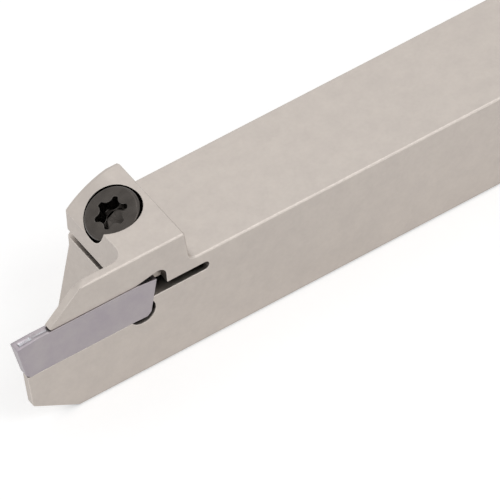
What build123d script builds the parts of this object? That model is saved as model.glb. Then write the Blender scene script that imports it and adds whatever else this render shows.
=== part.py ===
from build123d import *

import os
from math import cos, radians, sin, sqrt, tan

# Parting and grooving tool holder: a square shank with a raised head, a thin blade with a
# spring jaw, a double-ended cutting insert and the tilted screw that pulls the jaw down.
# Millimetres. Origin on the underside of the shank, half way along the tool and half way
# across it. X runs from the cutting tip to the plain end, Y from the front side, which is
# flush with the blade, to the back, Z up.
# Lengths called reach or top or foot are measured from the cutting tip along the shank,
# and heights from the cutting edge, which is level with the top of the shank.

# Shank
shank_height = 16.0
shank_width = 16.0
overall_length = 120.0
edge_chamfer = 0.2

# Raised head
head_rise = 5.3
riser_top = 26.1
riser_foot = 26.6
riser_foot_radius = 1.2

# Shoulder, the wall that the blade stands out from
shoulder_reach = 17.6
shoulder_lean = 13.5
shoulder_lean_start = 5.0
blade_root_radius = 2.0
head_back_radius = 0.8

# Blade, with the nose of the upper jaw and the lower jaw
blade_thickness = 1.2
nose_top = 10.1
nose_tip = 5.1
nose_bluntness = 0.3
jaw_front = 1.25
jaw_front_lean = 4.0
jaw_depth = 11.8
jaw_corner_radius = 0.8
ramp_end = 8.7

# Cutting insert, with an equal cutting head at each end
insert_length = 21.3
insert_width = 1.7
insert_depth = 6.15
land_height = 0.25
end_relief = 11.0
bottom_corner_chamfer = 0.5
side_relief = 1.2
waist_depth = 0.12
waist_start = 3.6
breaker_length = 3.0
breaker_low = 0.95
breaker_depth = 0.32
dimple_radius = 1.1
dimple_depth = 0.14
guide_half_width = 0.42
guide_height = 0.2

# Insert pocket and flex slot
pocket_gap = 0.12
stop_depth = 3.85
lower_arc_radius = 2.0
lower_arc_lift = 1.05
lower_arc_middle = -45.0
upper_arc_radius = 1.3
upper_arc_offset = 0.35
upper_arc_end = 100.0
jaw_lift = 0.75
jaw_contact_end = 18.2
slot_width = 1.34
slot_depth = 1.85
slot_end = 29.4

# Clamp screw, tilted towards the tip, and the holes that it sits in. Its reach, inset and
# sink are those of the middle of its top face.
screw_reach = 20.9
screw_inset = 9.5
screw_tilt = 26.0
screw_length = 12.0
screw_end_chamfer = 0.5
thread_diameter = 5.0
thread_gap = 0.03
thread_spare = 2.0
head_diameter = 7.9
head_height = 3.3
head_edge_radius = 0.45
head_sink = 1.0
head_gap = 0.3
shank_gap = 0.25
socket_size = 4.7
socket_waist = 3.4
socket_lobes = 6
socket_depth = 2.2
socket_flute_radius = 0.93
socket_lobe_radius = 0.28
socket_point = 0.5
socket_turn = -22.8

# Sloped face on the back half of the head, from the top down to the shoulder
slope_top = 24.2
slope_foot = 1.5
slope_bulge = 0.5

# Places that follow from the sizes above
tip_x = -overall_length / 2
front_y = -shank_width / 2
back_y = shank_width / 2
edge_z = shank_height
head_z = edge_z + head_rise
wall_x = tip_x + shoulder_reach
blade_back_y = front_y + blade_thickness
blade_middle_y = front_y + blade_thickness / 2
insert_middle_x = tip_x + insert_length / 2
slot_bottom = -slot_depth - slot_width
seat = -insert_depth
pocket_depth = (blade_thickness + insert_width) / 2 + pocket_gap
screw_x = tip_x + screw_reach
screw_y = front_y + screw_inset
screw_top = (screw_x, screw_y, head_z - head_sink)
tilt_up = cos(radians(screw_tilt))
tilt_along = sin(radians(screw_tilt))
relief_slope = tan(radians(end_relief))

# Profiles seen from the front side: along the tool from the tip, up from the cutting edge
side = Plane(origin=(tip_x, front_y, edge_z), x_dir=(1, 0, 0), z_dir=(0, -1, 0))
insert_side = Plane(
    origin=(insert_middle_x, blade_middle_y, edge_z), x_dir=(1, 0, 0), z_dir=(0, -1, 0)
)
insert_plan = Plane(origin=(insert_middle_x, blade_middle_y, edge_z))
across = Plane(origin=(tip_x, front_y, edge_z), x_dir=(0, 1, 0), z_dir=(1, 0, 0))
screw_axis = Axis(screw_top, (-tilt_along, 0, tilt_up))
screw_face = Plane(origin=screw_top, x_dir=(tilt_up, 0, tilt_along), z_dir=screw_axis.direction)
screw_side = Plane(origin=screw_top, x_dir=(tilt_up, 0, tilt_along), z_dir=(0, -1, 0))
slot_middle = Plane.XY.offset(edge_z + slot_bottom + slot_width / 2)
overshoot = 3.0
reading_gap = 0.01


def near(value):
    return value - reading_gap, value + reading_gap


def on_circle(centre_x, centre_z, radius, angle):
    turn = radians(angle)
    return centre_x + radius * cos(turn), centre_z + radius * sin(turn)


def half_chord(radius, distance):
    return sqrt(radius**2 - distance**2)


# Guide vees: the insert straddles one on the seat, and the upper jaw presses one into it


def make_guide(start, end, foot, point):
    middle = blade_thickness / 2
    with BuildPart() as guide:
        with BuildSketch(across.offset(start)):
            with BuildLine():
                Polyline(
                    (middle - guide_half_width, foot),
                    (middle + guide_half_width, foot),
                    (middle, point),
                    close=True,
                )
            make_face()
        extrude(amount=end - start)
    return guide.part


# Material cleared from the back half of the head, which leaves the sloped face

with BuildPart() as slope_clearance:
    with BuildSketch(side.offset(-screw_inset)):
        with BuildLine():
            ThreePointArc(
                (slope_top, head_rise),
                (
                    (slope_top + shoulder_reach) / 2 - slope_bulge / 2,
                    (head_rise + slope_foot) / 2 + slope_bulge,
                ),
                (shoulder_reach, slope_foot),
            )
            Polyline(
                (shoulder_reach, slope_foot),
                (shoulder_reach - overshoot, slope_foot),
                (shoulder_reach - overshoot, head_rise + overshoot),
                (slope_top, head_rise + overshoot),
                (slope_top, head_rise),
            )
        make_face()
    extrude(amount=screw_inset - shank_width - overshoot)


# Bores below the screw's head: a clearance hole down to the slot and a tapped hole below it

with BuildPart() as clearance_bore:
    with BuildSketch(screw_face.offset(-head_height)):
        Circle(thread_diameter / 2 + shank_gap)
    extrude(amount=-screw_length)
    split(bisect_by=slot_middle, keep=Keep.TOP)

with BuildPart() as tapped_bore:
    with BuildSketch(screw_face.offset(-head_height)):
        Circle(thread_diameter / 2 + thread_gap)
    extrude(amount=-screw_length - thread_spare)
    split(bisect_by=slot_middle, keep=Keep.BOTTOM)


# Holder body

with BuildPart() as holder_body:
    # Shank and head; the shoulder leans back towards the tip below the slot
    shoulder_shift = tan(radians(shoulder_lean)) * (shank_height - shoulder_lean_start)
    with BuildSketch(side):
        with BuildLine():
            Polyline(
                (shoulder_reach, head_rise),
                (riser_top, head_rise),
                (riser_foot, 0),
                (overall_length, 0),
                (overall_length, -shank_height),
                (shoulder_reach - shoulder_shift, -shank_height),
                (shoulder_reach, -shoulder_lean_start),
                close=True,
            )
        make_face()
    extrude(amount=-shank_width)

    cross_edges = holder_body.edges().filter_by(Axis.Y)
    fillet(
        cross_edges.filter_by_position(Axis.X, *near(tip_x + riser_foot)),
        radius=riser_foot_radius,
    )
    # Sloped face, then the rounded edges at the back of the head
    add(slope_clearance.part, mode=Mode.SUBTRACT)
    back_edges = holder_body.edges().filter_by_position(Axis.Y, *near(back_y))
    shoulder_edges = back_edges.filter_by_position(Axis.X, tip_x, wall_x + reading_gap)
    top_edges = back_edges.filter_by_position(Axis.Z, edge_z + slope_foot, head_z + reading_gap)
    top_edges = top_edges.filter_by_position(Axis.X, wall_x, tip_x + riser_top - reading_gap)
    fillet(shoulder_edges + top_edges, radius=head_back_radius)

    # Blade
    jaw_shift = tan(radians(jaw_front_lean)) * (jaw_depth - insert_depth)
    with BuildSketch(side):
        with BuildLine():
            Polyline(
                (shoulder_reach, head_rise),
                (nose_top, head_rise),
                (nose_tip, land_height + nose_bluntness),
                (nose_tip + nose_bluntness, land_height),
                (jaw_front, seat),
                (jaw_front + jaw_shift, -jaw_depth),
                (ramp_end, -shank_height),
                (shoulder_reach, -shank_height),
                close=True,
            )
        make_face()
    extrude(amount=-blade_thickness)
    jaw_corner = holder_body.edges().filter_by(Axis.Y)
    jaw_corner = jaw_corner.filter_by_position(Axis.X, *near(tip_x + jaw_front + jaw_shift))
    fillet(jaw_corner, radius=jaw_corner_radius)

    root_edges = holder_body.edges().filter_by_position(Axis.Y, *near(blade_back_y))
    root_edges = root_edges.filter_by_position(Axis.X, tip_x + ramp_end, wall_x + reading_gap)
    fillet(root_edges.filter_by(Axis.X, reverse=True), radius=blade_root_radius)

    # Chamfers on the long edges and the plain end
    long_edges = holder_body.edges().filter_by(Axis.X)
    outer_edges = long_edges.filter_by_position(Axis.Y, *near(front_y))
    outer_edges += long_edges.filter_by_position(Axis.Y, *near(back_y))
    outer_edges += holder_body.faces().sort_by(Axis.X)[-1].edges()
    chamfer(outer_edges, length=edge_chamfer)

    # Insert pocket, open at the front side and at the nose. The stop bears on the lower part
    # of the insert's end face; the arcs above and below it clear the insert's corners.
    stop_top = (insert_length + relief_slope * slot_bottom, slot_bottom)
    stop_foot = (insert_length - relief_slope * stop_depth, -stop_depth)
    lower_arc_z = seat + lower_arc_lift
    lower_arc_x = stop_foot[0] - half_chord(lower_arc_radius, stop_foot[1] - lower_arc_z)
    lower_arc_start = lower_arc_x - half_chord(lower_arc_radius, lower_arc_lift)
    upper_arc_x = insert_length + upper_arc_offset
    upper_arc_z = land_height + jaw_lift - upper_arc_radius
    upper_arc = (upper_arc_x, upper_arc_z, upper_arc_radius)
    with BuildSketch(side):
        with BuildLine():
            Polyline(
                (-overshoot, land_height),
                (-overshoot, seat),
                (lower_arc_start, seat),
            )
            ThreePointArc(
                (lower_arc_start, seat),
                on_circle(lower_arc_x, lower_arc_z, lower_arc_radius, lower_arc_middle),
                stop_foot,
            )
            Polyline(
                stop_foot,
                stop_top,
                (upper_arc_x + upper_arc_radius, slot_bottom),
                on_circle(*upper_arc, 0),
            )
            ThreePointArc(
                on_circle(*upper_arc, 0),
                on_circle(*upper_arc, upper_arc_end / 2),
                on_circle(*upper_arc, upper_arc_end),
            )
            Polyline(
                on_circle(*upper_arc, upper_arc_end),
                (jaw_contact_end, land_height),
                (-overshoot, land_height),
            )
        make_face()
    extrude(amount=-pocket_depth, mode=Mode.SUBTRACT)

    # Flex slot, through the whole width, that lets the upper jaw spring
    slot_start = shoulder_reach - shoulder_shift
    with BuildSketch(side):
        with Locations(((slot_start + slot_end) / 2, slot_bottom + slot_width / 2)):
            SlotOverall(slot_end - slot_start, slot_width)
    extrude(amount=-shank_width, mode=Mode.SUBTRACT)

    # Guide ridges on the seat and under the upper jaw
    guide_end = shoulder_reach - pocket_gap
    guide_start = nose_tip + nose_bluntness
    add(make_guide(jaw_front, guide_end, seat, seat + guide_height))
    add(make_guide(guide_start, jaw_contact_end, land_height, land_height - guide_height))

    # Counterbore, which breaks out through the shoulder, and the bores below it
    with BuildSketch(screw_face.offset(-head_height)):
        Circle(head_diameter / 2 + head_gap)
    extrude(amount=head_height + head_diameter, mode=Mode.SUBTRACT)
    add([clearance_bore.part, tapped_bore.part], mode=Mode.SUBTRACT)


# Cutting insert

with BuildPart() as insert_outline:
    # Seen from above: full width at both cutting edges, waisted between, narrower below
    half_length = insert_length / 2
    half_width = insert_width / 2
    half_waist = half_width - waist_depth
    with BuildSketch(insert_plan) as outline:
        with BuildLine():
            Polyline(
                (0, 0),
                (half_length + overshoot, 0),
                (half_length + overshoot, half_width),
                (half_length, half_width),
                (half_length - waist_start, half_waist),
                (0, half_waist),
                close=True,
            )
        make_face()
        mirror(about=Plane.XZ)
        mirror(about=Plane.YZ)
    extrude(outline.sketch, amount=overshoot)
    extrude(outline.sketch, amount=-insert_depth - overshoot, taper=side_relief)

with BuildPart() as cutting_insert:
    chamfer_top = seat + bottom_corner_chamfer
    with BuildSketch(insert_side):
        with BuildLine():
            ThreePointArc(
                (half_length, 0),
                (half_length - breaker_low, -breaker_depth),
                (half_length - 2 * breaker_low, 0),
            )
            Polyline(
                (half_length - 2 * breaker_low, 0),
                (half_length - breaker_length, land_height),
                (0, land_height),
                (0, seat),
                (half_length + relief_slope * seat - bottom_corner_chamfer, seat),
                (half_length + relief_slope * chamfer_top, chamfer_top),
                (half_length, 0),
            )
        make_face()
        mirror(about=Plane.YZ)
    extrude(amount=insert_width, both=True)
    add(insert_outline.part, mode=Mode.INTERSECT)

    groove_ends = (-overshoot, insert_length + overshoot)
    lower_groove = make_guide(*groove_ends, seat, seat + guide_height)
    upper_groove = make_guide(*groove_ends, land_height, land_height - guide_height)
    add([lower_groove, upper_groove], mode=Mode.SUBTRACT)

    # Chip breaker dimple in each rake face
    dimple_reach = half_length - breaker_low - dimple_radius / 2
    dimple_centre_z = edge_z - breaker_depth - dimple_depth + dimple_radius
    with Locations(
        (insert_middle_x - dimple_reach, blade_middle_y, dimple_centre_z),
        (insert_middle_x + dimple_reach, blade_middle_y, dimple_centre_z),
    ):
        Sphere(dimple_radius, mode=Mode.SUBTRACT)


# Clamp screw

with BuildPart() as clamp_screw:
    screw_end = -head_height - screw_length
    with BuildSketch(screw_side):
        with BuildLine():
            Polyline(
                (0, 0),
                (head_diameter / 2, 0),
                (head_diameter / 2, -head_height),
                (thread_diameter / 2, -head_height),
                (thread_diameter / 2, screw_end + screw_end_chamfer),
                (thread_diameter / 2 - screw_end_chamfer, screw_end),
                (0, screw_end),
                close=True,
            )
        make_face()
    revolve(axis=screw_axis)
    head_rim = clamp_screw.edges().group_by(screw_axis)[-1]
    fillet(head_rim, radius=head_edge_radius)

    # Six-lobe socket with a drill point at its bottom
    with BuildSketch(screw_face):
        Circle(socket_size / 2)
        flute_reach = socket_waist / 2 + socket_flute_radius
        first_flute = 180 / socket_lobes + socket_turn
        with PolarLocations(flute_reach, socket_lobes, start_angle=first_flute):
            Circle(socket_flute_radius, mode=Mode.SUBTRACT)
        fillet(vertices(), radius=socket_lobe_radius)
    extrude(amount=-socket_depth, mode=Mode.SUBTRACT)
    with Locations(screw_face.offset(-socket_depth - socket_point / 2)):
        Cone(
            bottom_radius=0,
            top_radius=socket_waist / 2,
            height=socket_point,
            mode=Mode.SUBTRACT,
        )


# Named pieces

os.makedirs("parts", exist_ok=True)
pieces = {
    "holder_body": holder_body,
    "cutting_insert": cutting_insert,
    "clamp_screw": clamp_screw,
}
for name, piece in pieces.items():
    piece.part.label = name
    export_step(piece.part, f"parts/{name}.step")
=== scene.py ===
import math

import bpy
from mathutils import Matrix, Vector


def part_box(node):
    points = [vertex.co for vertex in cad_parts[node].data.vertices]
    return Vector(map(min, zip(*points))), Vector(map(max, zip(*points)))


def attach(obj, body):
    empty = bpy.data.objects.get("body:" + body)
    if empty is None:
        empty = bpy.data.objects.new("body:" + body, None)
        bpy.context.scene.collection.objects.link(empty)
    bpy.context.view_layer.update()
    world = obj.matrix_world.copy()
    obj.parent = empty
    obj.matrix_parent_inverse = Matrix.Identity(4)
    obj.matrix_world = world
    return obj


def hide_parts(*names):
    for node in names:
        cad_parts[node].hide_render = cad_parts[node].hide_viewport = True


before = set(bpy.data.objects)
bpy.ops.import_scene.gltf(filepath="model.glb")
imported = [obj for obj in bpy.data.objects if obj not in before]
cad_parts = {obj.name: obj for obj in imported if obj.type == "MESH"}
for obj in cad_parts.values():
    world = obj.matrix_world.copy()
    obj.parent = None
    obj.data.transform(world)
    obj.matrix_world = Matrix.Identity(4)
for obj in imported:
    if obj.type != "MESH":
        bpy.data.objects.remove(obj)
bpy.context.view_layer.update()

print("frame loaded")


# Camera: a long lens from the front left and above, with a small roll
cameraView = {
    "azimuth": -30.433,
    "elevation": 47.084,
    "roll": 4.297,
    "aim": (-0.02247, -0.00469, 0.008),
    "distance": 1.1909,
    "lens": 661.2,
    "clip": (0.05, 20),
}


def placeCamera(view):
    azimuth = math.radians(view["azimuth"])
    elevation = math.radians(view["elevation"])
    back = Vector(
        (
            math.sin(azimuth) * math.cos(elevation),
            -math.cos(azimuth) * math.cos(elevation),
            math.sin(elevation),
        )
    )
    camera = bpy.data.objects.new("viewCamera", bpy.data.cameras.new("viewCamera"))
    bpy.context.scene.collection.objects.link(camera)
    camera.data.lens = view["lens"]
    camera.data.clip_start, camera.data.clip_end = view["clip"]
    turn = (-back).to_track_quat("-Z", "Y").to_matrix().to_4x4()
    turn = turn @ Matrix.Rotation(math.radians(-view["roll"]), 4, "Z")
    place = Vector(view["aim"]) + back * view["distance"]
    camera.matrix_world = Matrix.Translation(place) @ turn
    bpy.context.scene.camera = camera


placeCamera(cameraView)
print("camera placed")


# Small helpers for picking things and for wiring materials


def pickOnly(thing):
    bpy.ops.object.select_all(action="DESELECT")
    thing.select_set(True)
    bpy.context.view_layer.objects.active = thing


def pickVertices(piece, wanted):
    # Leaves only the wanted vertices selected, in vertex mode
    bpy.ops.mesh.select_mode(type="VERT")
    bpy.ops.mesh.select_all(action="DESELECT")
    bpy.ops.object.mode_set(mode="OBJECT")
    for vertex in piece.data.vertices:
        vertex.select = wanted(vertex.co)
    bpy.ops.object.mode_set(mode="EDIT")


def pickFaces(piece, wanted):
    # Leaves only the wanted faces selected, in face mode
    bpy.ops.mesh.select_mode(type="FACE")
    bpy.ops.mesh.select_all(action="DESELECT")
    bpy.ops.object.mode_set(mode="OBJECT")
    for face in piece.data.polygons:
        face.select = wanted(face)
    bpy.ops.object.mode_set(mode="EDIT")


def addNode(tree, kind, inputs=None, **settings):
    node = tree.nodes.new(kind)
    for name, value in settings.items():
        setattr(node, name, value)
    for name, value in (inputs or {}).items():
        node.inputs[name].default_value = value
    return node


def wire(tree, start, end):
    tree.links.new(start, end)


def newGroup(name, inputs, outputs):
    group = bpy.data.node_groups.new(name, "ShaderNodeTree")
    for label, kind, value in inputs:
        socket = group.interface.new_socket(label, in_out="INPUT", socket_type=kind)
        if value is not None:
            socket.default_value = value
    for label, kind in outputs:
        group.interface.new_socket(label, in_out="OUTPUT", socket_type=kind)
    return group, group.nodes.new("NodeGroupInput"), group.nodes.new("NodeGroupOutput")


def placeGroup(tree, group, inputs):
    node = tree.nodes.new("ShaderNodeGroup")
    node.node_tree = group
    for name, value in inputs.items():
        node.inputs[name].default_value = value
    return node


def blendColours(tree, amount, first, second):
    # first and second are each a socket or a plain colour
    mixer = addNode(tree, "ShaderNodeMix", data_type="RGBA")
    colourSockets = [socket for socket in mixer.inputs if socket.type == "RGBA"]
    wire(tree, amount, mixer.inputs["Factor"])
    for socket, colour in zip(colourSockets, (first, second)):
        if isinstance(colour, tuple):
            socket.default_value = colour
        else:
            wire(tree, colour, socket)
    return next(socket for socket in mixer.outputs if socket.type == "RGBA")


# Shared effects

speckCoarseness = 0.28  # specks against the fine grain


def makeEdgeWearAndHighlight():
    # Bright rubbed metal where two faces meet, partly a painted highlight along the edges, broken
    # up by noise
    group, given, result = newGroup(
        "edgeWearAndHighlight",
        [
            ("Width", "NodeSocketFloat", 0.0002),
            ("Amount", "NodeSocketFloat", 1.0),
            ("Noise Scale", "NodeSocketFloat", 900.0),
        ],
        [("Mask", "NodeSocketFloat"), ("Normal", "NodeSocketVector")],
    )
    rounded = addNode(group, "ShaderNodeBevel", samples=6)
    surface = addNode(group, "ShaderNodeNewGeometry")
    facing = addNode(group, "ShaderNodeVectorMath", operation="DOT_PRODUCT")
    turned = addNode(group, "ShaderNodeMath", {0: 1.0}, operation="SUBTRACT")
    stretched = addNode(
        group, "ShaderNodeMapRange", {"From Min": 0.005, "From Max": 0.12}, clamp=True
    )
    places = addNode(group, "ShaderNodeTexCoord")
    noise = addNode(group, "ShaderNodeTexNoise", {"Detail": 3.0})
    patchy = addNode(
        group, "ShaderNodeMapRange", {"From Min": 0.3, "From Max": 0.6, "To Min": 0.45}
    )
    broken = addNode(group, "ShaderNodeMath", operation="MULTIPLY")
    scaled = addNode(group, "ShaderNodeMath", operation="MULTIPLY", use_clamp=True)
    wire(group, given.outputs["Width"], rounded.inputs["Radius"])
    wire(group, rounded.outputs["Normal"], facing.inputs[0])
    wire(group, surface.outputs["Normal"], facing.inputs[1])
    wire(group, facing.outputs["Value"], turned.inputs[1])
    wire(group, turned.outputs[0], stretched.inputs["Value"])
    wire(group, places.outputs["Object"], noise.inputs["Vector"])
    wire(group, given.outputs["Noise Scale"], noise.inputs["Scale"])
    wire(group, noise.outputs["Fac"], patchy.inputs["Value"])
    wire(group, stretched.outputs["Result"], broken.inputs[0])
    wire(group, patchy.outputs["Result"], broken.inputs[1])
    wire(group, broken.outputs[0], scaled.inputs[0])
    wire(group, given.outputs["Amount"], scaled.inputs[1])
    wire(group, scaled.outputs[0], result.inputs["Mask"])
    wire(group, rounded.outputs["Normal"], result.inputs["Normal"])
    return group


def makeHollowMask(name, ownOnly):
    # Finds slots and holes; ownOnly leaves out the gaps between one piece and the next
    group, given, result = newGroup(
        name,
        [
            ("Reach", "NodeSocketFloat", 0.002),
            ("Open Above", "NodeSocketFloat", 0.6),
            ("Full Below", "NodeSocketFloat", 0.2),
        ],
        [("Mask", "NodeSocketFloat")],
    )
    shelter = addNode(group, "ShaderNodeAmbientOcclusion", samples=12, only_local=ownOnly)
    sheltered = addNode(group, "ShaderNodeMapRange", {"To Min": 1.0, "To Max": 0.0}, clamp=True)
    wire(group, given.outputs["Reach"], shelter.inputs["Distance"])
    wire(group, shelter.outputs["AO"], sheltered.inputs["Value"])
    wire(group, given.outputs["Full Below"], sheltered.inputs["From Min"])
    wire(group, given.outputs["Open Above"], sheltered.inputs["From Max"])
    wire(group, sheltered.outputs["Result"], result.inputs["Mask"])
    return group


def makeFineGrain():
    # Matt grain of blasted and plated metal: a height, broad clouds and fine specks
    group, given, result = newGroup(
        "fineGrain",
        [
            ("Grain Scale", "NodeSocketFloat", 9000.0),
            ("Cloud Scale", "NodeSocketFloat", 160.0),
        ],
        [
            ("Height", "NodeSocketFloat"),
            ("Clouds", "NodeSocketFloat"),
            ("Specks", "NodeSocketFloat"),
        ],
    )
    places = addNode(group, "ShaderNodeTexCoord")
    grain = addNode(group, "ShaderNodeTexNoise", {"Detail": 2.0, "Roughness": 0.6})
    clouds = addNode(group, "ShaderNodeTexNoise", {"Detail": 5.0, "Roughness": 0.62})
    speckScale = addNode(group, "ShaderNodeMath", {1: speckCoarseness}, operation="MULTIPLY")
    specks = addNode(group, "ShaderNodeTexNoise", {"Detail": 2.0, "Roughness": 0.5})
    for node in (grain, clouds, specks):
        wire(group, places.outputs["Object"], node.inputs["Vector"])
    wire(group, given.outputs["Grain Scale"], grain.inputs["Scale"])
    wire(group, given.outputs["Grain Scale"], speckScale.inputs[0])
    wire(group, speckScale.outputs[0], specks.inputs["Scale"])
    wire(group, given.outputs["Cloud Scale"], clouds.inputs["Scale"])
    wire(group, grain.outputs["Fac"], result.inputs["Height"])
    wire(group, clouds.outputs["Fac"], result.inputs["Clouds"])
    wire(group, specks.outputs["Fac"], result.inputs["Specks"])
    return group


edgeWearAndHighlight = makeEdgeWearAndHighlight()
# Mask for painting shade into slots, holes and the gaps between pieces
recessShade = makeHollowMask("recessShade", ownOnly=False)
# Mask for the painted sheen in the insert's pockets and grooves
groundHollowAndSheen = makeHollowMask("groundHollowAndSheen", ownOnly=True)
fineGrain = makeFineGrain()
print("shared effects made")


# Metals

nickelledSteel = {
    "name": "nickelledSteel",
    "colour": (0.535, 0.486, 0.445, 1),
    "shade": (0.505, 0.458, 0.422, 1),
    # Edge colour: rubbed metal, partly a painted highlight where the edges catch the light
    "wornAndHighlight": (0.840, 0.790, 0.730, 1),
    # Near-black painted shade in slots, holes and the gaps between pieces, partly the darker cut
    # surface of the slots
    "inHollowsPaintedLight": (0.016, 0.011, 0.008, 1),
    "roughness": (0.42, 0.50),
    "bump": 0.25,
    "grainDepth": 0.000006,
    "grain": {"Grain Scale": 7000.0, "Cloud Scale": 420.0},
    "wearAndHighlight": {"Width": 0.00020, "Amount": 0.80, "Noise Scale": 700.0},
    "hollowGroup": recessShade,
    "hollow": {"Reach": 0.0025, "Open Above": 0.52, "Full Below": 0.32},
}
coatedCarbide = {
    "name": "coatedCarbide",
    "colour": (0.385, 0.352, 0.362, 1),
    "shade": (0.345, 0.310, 0.336, 1),
    "wornAndHighlight": (0.500, 0.490, 0.530, 1),
    # A painted bluish sheen in the chip-breaker pockets, partly the bright ground carbide there
    "inHollowsPaintedLight": (0.700, 0.760, 0.790, 1),
    "roughness": (0.30, 0.38),
    "bump": 0.2,
    "grainDepth": 0.000003,
    "grain": {"Grain Scale": 12000.0, "Cloud Scale": 260.0},
    "wearAndHighlight": {"Width": 0.00008, "Amount": 0.35, "Noise Scale": 1500.0},
    "hollowGroup": groundHollowAndSheen,
    "hollow": {"Reach": 0.0005, "Open Above": 0.88, "Full Below": 0.78},
}
blackOxideSteel = {
    "name": "blackOxideSteel",
    "colour": (0.088, 0.079, 0.072, 1),
    "shade": (0.064, 0.057, 0.052, 1),
    "wornAndHighlight": (0.260, 0.245, 0.230, 1),
    # Painted shade inside the socket and in the gaps round the screw
    "inHollowsPaintedLight": (0.010, 0.008, 0.007, 1),
    "roughness": (0.24, 0.36),
    "bump": 0.2,
    "grainDepth": 0.000004,
    "grain": {"Grain Scale": 9000.0, "Cloud Scale": 420.0},
    "wearAndHighlight": {"Width": 0.00014, "Amount": 0.6, "Noise Scale": 1300.0},
    "hollowGroup": recessShade,
    "hollow": {"Reach": 0.0012, "Open Above": 0.16, "Full Below": 0.0},
}


def makeMetal(look):
    material = bpy.data.materials.new(look["name"])
    material.use_nodes = True
    tree = material.node_tree
    tree.nodes.clear()
    shader = addNode(tree, "ShaderNodeBsdfPrincipled", {"Metallic": 1.0})
    output = addNode(tree, "ShaderNodeOutputMaterial")
    wire(tree, shader.outputs["BSDF"], output.inputs["Surface"])
    grain = placeGroup(tree, fineGrain, look["grain"])
    wearAndHighlight = placeGroup(tree, edgeWearAndHighlight, look["wearAndHighlight"])
    hollow = placeGroup(tree, look["hollowGroup"], look["hollow"])

    # Colour: cloudy base, then rubbed edges with a painted highlight, then painted shade in the
    # hollows (a painted sheen on the carbide)
    cloudy = addNode(tree, "ShaderNodeMapRange", {"From Min": 0.35, "From Max": 0.65})
    wire(tree, grain.outputs["Clouds"], cloudy.inputs["Value"])
    base = blendColours(tree, cloudy.outputs["Result"], look["colour"], look["shade"])
    # Edges: real wear, partly a painted highlight
    rubbedAndHighlit = blendColours(tree, wearAndHighlight.outputs["Mask"], base, look["wornAndHighlight"])
    # Hollows: painted shade on the steels, a painted sheen on the carbide
    finished = blendColours(tree, hollow.outputs["Mask"], rubbedAndHighlit, look["inHollowsPaintedLight"])
    wire(tree, finished, shader.inputs["Base Color"])

    low, high = look["roughness"]
    matt = addNode(
        tree,
        "ShaderNodeMapRange",
        {"From Min": 0.3, "From Max": 0.7, "To Min": low, "To Max": high},
    )
    wire(tree, grain.outputs["Specks"], matt.inputs["Value"])
    wire(tree, matt.outputs["Result"], shader.inputs["Roughness"])

    bump = addNode(
        tree, "ShaderNodeBump", {"Strength": look["bump"], "Distance": look["grainDepth"]}
    )
    wire(tree, grain.outputs["Height"], bump.inputs["Height"])
    wire(tree, wearAndHighlight.outputs["Normal"], bump.inputs["Normal"])
    wire(tree, bump.outputs["Normal"], shader.inputs["Normal"])
    return material


nickel = makeMetal(nickelledSteel)
carbide = makeMetal(coatedCarbide)
blackOxide = makeMetal(blackOxideSteel)
print("materials made")


# Body and screw: copies of the CAD nodes, cleaned and given fine rounded edges

nearly = 0.000005  # how close a vertex lies to the line it belongs to
mergeWithin = 0.000001
flatWithin = 0.3  # degrees between faces that are one flat

roundedPieces = [
    {
        "node": "holder_body",
        "name": "holderBody",
        "body": "holder",
        "slot": "nickelled_steel",
        "material": nickel,
        "edgeRadius": 0.00009,
        "sharpAngle": 47,
        "smoothAngle": 32,
        # The corner between the top of the spring jaw and the slope of its nose
        "noseCorner": {"x": -0.0499, "z": 0.0213, "reach": 0.0011, "steps": 7, "within": 0.00002},
    },
    {
        "node": "clamp_screw",
        "name": "clampScrew",
        "body": "screw",
        "slot": "black_oxide_steel",
        "material": blackOxide,
        "edgeRadius": 0.00006,
        "sharpAngle": 47,
        "smoothAngle": 32,
    },
]


def finishPiece(piece, plan):
    # Smooth shading that keeps the flats flat, then the material and the frame's calls
    pickOnly(piece)
    bpy.ops.object.shade_smooth_by_angle(angle=math.radians(plan["smoothAngle"]))
    even = piece.modifiers.new("evenNormals", "WEIGHTED_NORMAL")
    even.mode = "FACE_AREA"
    even.weight = 100
    even.keep_sharp = True
    bpy.ops.object.modifier_apply(modifier=even.name)
    piece.data.materials.clear()
    piece.data.materials.append(plan["material"])
    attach(piece, plan["body"])
    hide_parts(plan["node"])


def roundCorner(piece, corner):
    # One edge lying across the piece, made into a round
    def onEdge(place):
        return max(abs(place.x - corner["x"]), abs(place.z - corner["z"])) < corner["within"]

    pickVertices(piece, onEdge)
    bpy.ops.mesh.select_mode(type="EDGE")
    bpy.ops.mesh.bevel(offset=corner["reach"], segments=corner["steps"], affect="EDGES")


def roundedCopy(plan):
    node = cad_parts[plan["node"]]
    piece = bpy.data.objects.new(plan["name"], node.data.copy())
    bpy.context.scene.collection.objects.link(piece)
    pickOnly(piece)
    bpy.ops.mesh.customdata_custom_splitnormals_clear()
    bpy.ops.object.mode_set(mode="EDIT")
    bpy.ops.mesh.select_all(action="SELECT")
    bpy.ops.mesh.remove_doubles(threshold=mergeWithin)
    bpy.ops.mesh.dissolve_limited(angle_limit=math.radians(flatWithin))
    if "noseCorner" in plan:
        roundCorner(piece, plan["noseCorner"])
    bpy.ops.mesh.select_all(action="DESELECT")
    bpy.ops.mesh.select_mode(type="EDGE")
    bpy.ops.mesh.edges_select_sharp(sharpness=math.radians(plan["sharpAngle"]))
    bpy.ops.transform.edge_bevelweight(value=1)
    bpy.ops.object.mode_set(mode="OBJECT")
    bevel = piece.modifiers.new("fineEdges", "BEVEL")
    bevel.limit_method = "WEIGHT"
    bevel.width = plan["edgeRadius"]
    bevel.segments = 2
    bevel.use_clamp_overlap = False
    bpy.ops.object.modifier_apply(modifier=bevel.name)
    finishPiece(piece, plan)
    return piece


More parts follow.
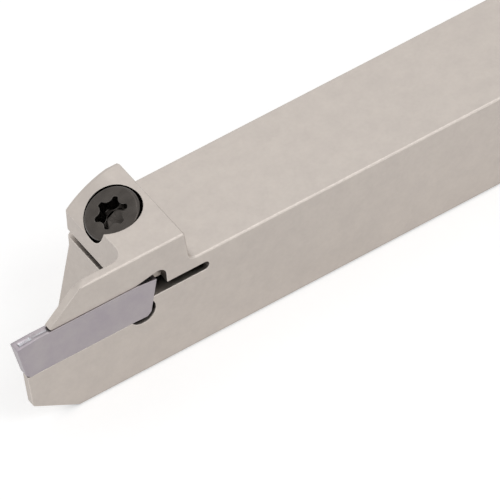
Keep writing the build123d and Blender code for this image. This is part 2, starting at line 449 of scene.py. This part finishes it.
for plan in roundedPieces:
    made = roundedCopy(plan)
    print("piece made", made.name, len(made.data.polygons), "faces")


# Cutting insert: cut from a block, then waisted, grooved and given a chip breaker at each end

insertPlan = {
    "node": "cutting_insert",
    "name": "cuttingInsert",
    "body": "holder",
    "slot": "carbide",
    "material": carbide,
    "spare": 0.0005,
    "landHeight": 0.00025,
    "rakeLength": 0.0030,
    "endRelief": 11,
    "sideRelief": 1.2,
    "bottomChamfer": 0.0005,
    "waistStart": 0.0036,
    "waistDepth": 0.00012,
    "grooveHalfWidth": 0.00042,
    "grooveDepth": 0.0002,  # as deep as the holder's guide ribs are high
    "breakerFrom": 0.0006,
    "breakerTo": 0.0027,
    "breakerWall": 0.00024,
    "breakerDepth": 0.00022,
    "edgeRadius": 0.00004,
    "edgeAngle": 20,
    "cutWithin": 0.0000001,
    "smoothAngle": 30,
}


def cutAlong(place, facing, remove=True):
    # A flat cut through the whole piece; the facing side goes, unless told otherwise
    bpy.ops.mesh.select_all(action="SELECT")
    bpy.ops.mesh.bisect(
        plane_co=place,
        plane_no=facing,
        use_fill=remove,
        clear_outer=remove,
        threshold=insertPlan["cutWithin"],
    )


def cutEnds(plan, middle, halfLength, edgeHeight, seatHeight):
    # Rake face, end relief and bottom chamfer at each end
    relief = math.radians(plan["endRelief"])
    for end in (-1, 1):
        edge = Vector((middle.x + end * halfLength, middle.y, edgeHeight))
        heel = Vector(
            (edge.x - end * math.tan(relief) * (edgeHeight - seatHeight), middle.y, seatHeight)
        )
        heel.x -= end * plan["bottomChamfer"]
        cutAlong(edge, (end * plan["landHeight"], 0, plan["rakeLength"]))
        cutAlong(edge, (end * math.cos(relief), 0, -math.sin(relief)))
        cutAlong(heel, (end, 0, -1))


def scoreLines(plan, middle, halfLength, edgeHeight):
    # Lines that the waist, the grooves and the chip breakers start from
    for reach in (plan["waistStart"], plan["breakerTo"], plan["breakerFrom"]):
        for end in (-1, 1):
            place = (middle.x + end * (halfLength - reach), middle.y, middle.z)
            cutAlong(place, (1, 0, 0), remove=False)
    for across in (-plan["grooveHalfWidth"], 0, plan["grooveHalfWidth"]):
        cutAlong((middle.x, middle.y + across, middle.z), (0, 1, 0), remove=False)
    cutAlong((middle.x, middle.y, edgeHeight), (0, 0, 1), remove=False)


def sinkGroove(piece, middle, height, move):
    # The middle line of one face, moved in to make a vee that a guide rib fills
    def onMiddleLine(place):
        return abs(place.y - middle.y) < nearly and abs(place.z - height) < nearly

    pickVertices(piece, onMiddleLine)
    bpy.ops.transform.translate(value=(0, 0, move))


def sinkBreaker(piece, plan, middle, edgeHeight, sides):
    # The pocket that curls the chip, in one rake face
    def inPocket(face):
        central = abs(face.center.y - middle.y) < plan["grooveHalfWidth"]
        return central and sides[0] < face.center.x < sides[1] and face.center.z > edgeHeight

    pickFaces(piece, inPocket)
    bpy.ops.mesh.inset(thickness=plan["breakerWall"], depth=-plan["breakerDepth"])


def narrowSides(piece, plan, middle, halfLength, halfWidth, edgeHeight):
    # Waisted behind each cutting edge, and narrower towards the seat
    slope = math.tan(math.radians(plan["sideRelief"]))
    for vertex in piece.data.vertices:
        outward = vertex.co.y - middle.y
        if abs(outward) > halfWidth - nearly:
            reach = halfLength - abs(vertex.co.x - middle.x)
            narrowed = plan["waistDepth"] * min(1, reach / plan["waistStart"])
            narrowed += slope * max(0, edgeHeight - vertex.co.z)
            vertex.co.y -= math.copysign(narrowed, outward)


def makeInsert(plan):
    low, high = (Vector(corner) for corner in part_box(plan["node"]))
    middle = (low + high) / 2
    halfLength, halfWidth, _ = (high - low) / 2
    edgeHeight = high.z - plan["landHeight"]
    bpy.ops.object.select_all(action="DESELECT")
    bpy.ops.mesh.primitive_cube_add(size=1, location=middle)
    piece = bpy.context.active_object
    piece.name = plan["name"]
    bpy.ops.object.transform_apply(location=True, rotation=False, scale=False)
    bpy.ops.object.mode_set(mode="EDIT")
    block = high - low + Vector((2 * plan["spare"], 0, 0))
    bpy.ops.transform.resize(value=block, center_override=middle)
    cutEnds(plan, middle, halfLength, edgeHeight, low.z)
    scoreLines(plan, middle, halfLength, edgeHeight)
    sinkGroove(piece, middle, low.z, plan["grooveDepth"])
    sinkGroove(piece, middle, high.z, -plan["grooveDepth"])
    for end in (-1, 1):
        sides = sorted(
            middle.x + end * (halfLength - plan[reach]) for reach in ("breakerTo", "breakerFrom")
        )
        sinkBreaker(piece, plan, middle, edgeHeight, sides)
    bpy.ops.object.mode_set(mode="OBJECT")
    narrowSides(piece, plan, middle, halfLength, halfWidth, edgeHeight)
    finish = piece.modifiers.new("fineEdges", "BEVEL")
    finish.limit_method = "ANGLE"
    finish.angle_limit = math.radians(plan["edgeAngle"])
    finish.width = plan["edgeRadius"]
    finish.segments = 2
    bpy.ops.object.modifier_apply(modifier=finish.name)
    finishPiece(piece, plan)
    return piece


made = makeInsert(insertPlan)
print("piece made", made.name, len(made.data.polygons), "faces")


# Studio: pale floor, white surround and soft lamps

floorLook = {
    "size": 4.0,
    "drop": 0.00005,
    "colour": (0.86, 0.86, 0.86, 1),
    "glow": 0.47,
    "whiteFrom": 0.12,
    "whiteTo": 0.30,
}
surround = {"seen": 1.0, "light": 0.53}
lamps = [
    {"name": "keyLamp", "place": (0.30, -0.50, 0.70), "size": 0.60, "power": 1.35},
    {"name": "topLamp", "place": (0.10, 0.35, 0.80), "size": 0.60, "power": 0.45},
    {"name": "noseLamp", "place": (-0.62, 0.47, 0.34), "size": 0.30, "power": 0.08},
]


def seenDirectly(tree):
    # 1 for rays from the camera, from a reflection or through glass
    path = addNode(tree, "ShaderNodeLightPath")
    firstTwo = addNode(tree, "ShaderNodeMath", operation="MAXIMUM")
    allThree = addNode(tree, "ShaderNodeMath", operation="MAXIMUM")
    wire(tree, path.outputs["Is Camera Ray"], firstTwo.inputs[0])
    wire(tree, path.outputs["Is Glossy Ray"], firstTwo.inputs[1])
    wire(tree, firstTwo.outputs[0], allThree.inputs[0])
    wire(tree, path.outputs["Is Transmission Ray"], allThree.inputs[1])
    return allThree.outputs[0]


def makeFloor(look):
    bpy.ops.object.select_all(action="DESELECT")
    bpy.ops.mesh.primitive_plane_add(size=look["size"], location=(0, 0, 0))
    floor = bpy.context.active_object
    floor.name = "studioFloor"
    bpy.ops.object.mode_set(mode="EDIT")
    bpy.ops.transform.translate(value=(0, 0, -look["drop"]))
    bpy.ops.object.mode_set(mode="OBJECT")
    material = bpy.data.materials.new("floorPaper")
    material.use_nodes = True
    tree = material.node_tree
    tree.nodes.clear()
    paper = addNode(tree, "ShaderNodeBsdfDiffuse", {"Color": look["colour"]})
    glow = addNode(tree, "ShaderNodeEmission")
    white = addNode(tree, "ShaderNodeEmission")
    seen = seenDirectly(tree)
    soft = addNode(tree, "ShaderNodeMath", {1: look["glow"]}, operation="MULTIPLY")
    both = addNode(tree, "ShaderNodeAddShader")
    places = addNode(tree, "ShaderNodeTexCoord")
    away = addNode(tree, "ShaderNodeVectorMath", operation="LENGTH")
    faded = addNode(
        tree,
        "ShaderNodeMapRange",
        {"From Min": look["whiteFrom"], "From Max": look["whiteTo"]},
        clamp=True,
        interpolation_type="SMOOTHSTEP",
    )
    blend = addNode(tree, "ShaderNodeMixShader")
    output = addNode(tree, "ShaderNodeOutputMaterial")
    wire(tree, seen, soft.inputs[0])
    wire(tree, soft.outputs[0], glow.inputs["Strength"])
    wire(tree, seen, white.inputs["Strength"])
    wire(tree, paper.outputs["BSDF"], both.inputs[0])
    wire(tree, glow.outputs["Emission"], both.inputs[1])
    wire(tree, places.outputs["Object"], away.inputs[0])
    wire(tree, away.outputs["Value"], faded.inputs["Value"])
    wire(tree, faded.outputs["Result"], blend.inputs["Fac"])
    wire(tree, both.outputs["Shader"], blend.inputs[1])
    wire(tree, white.outputs["Emission"], blend.inputs[2])
    wire(tree, blend.outputs["Shader"], output.inputs["Surface"])
    floor.data.materials.append(material)


def makeSurround(look):
    world = bpy.data.worlds.new("whiteSurround")
    bpy.context.scene.world = world
    world.use_nodes = True
    tree = world.node_tree
    tree.nodes.clear()
    light = addNode(tree, "ShaderNodeBackground", {"Color": (1, 1, 1, 1)})
    strength = addNode(
        tree, "ShaderNodeMapRange", {"To Min": look["light"], "To Max": look["seen"]}
    )
    output = addNode(tree, "ShaderNodeOutputWorld")
    wire(tree, seenDirectly(tree), strength.inputs["Value"])
    wire(tree, strength.outputs["Result"], light.inputs["Strength"])
    wire(tree, light.outputs["Background"], output.inputs["Surface"])


def makeLamp(plan):
    lamp = bpy.data.lights.new(plan["name"], "AREA")
    lamp.shape = "DISK"
    lamp.size = plan["size"]
    lamp.energy = plan["power"]
    lampObject = bpy.data.objects.new(plan["name"], lamp)
    bpy.context.scene.collection.objects.link(lampObject)
    lampObject.location = plan["place"]
    target = Vector(cameraView["aim"])
    towards = target - Vector(plan["place"])
    lampObject.rotation_euler = towards.to_track_quat("-Z", "Y").to_euler()


makeFloor(floorLook)
makeSurround(surround)
for plan in lamps:
    makeLamp(plan)
bpy.context.scene.view_settings.view_transform = "Standard"
print("studio made")
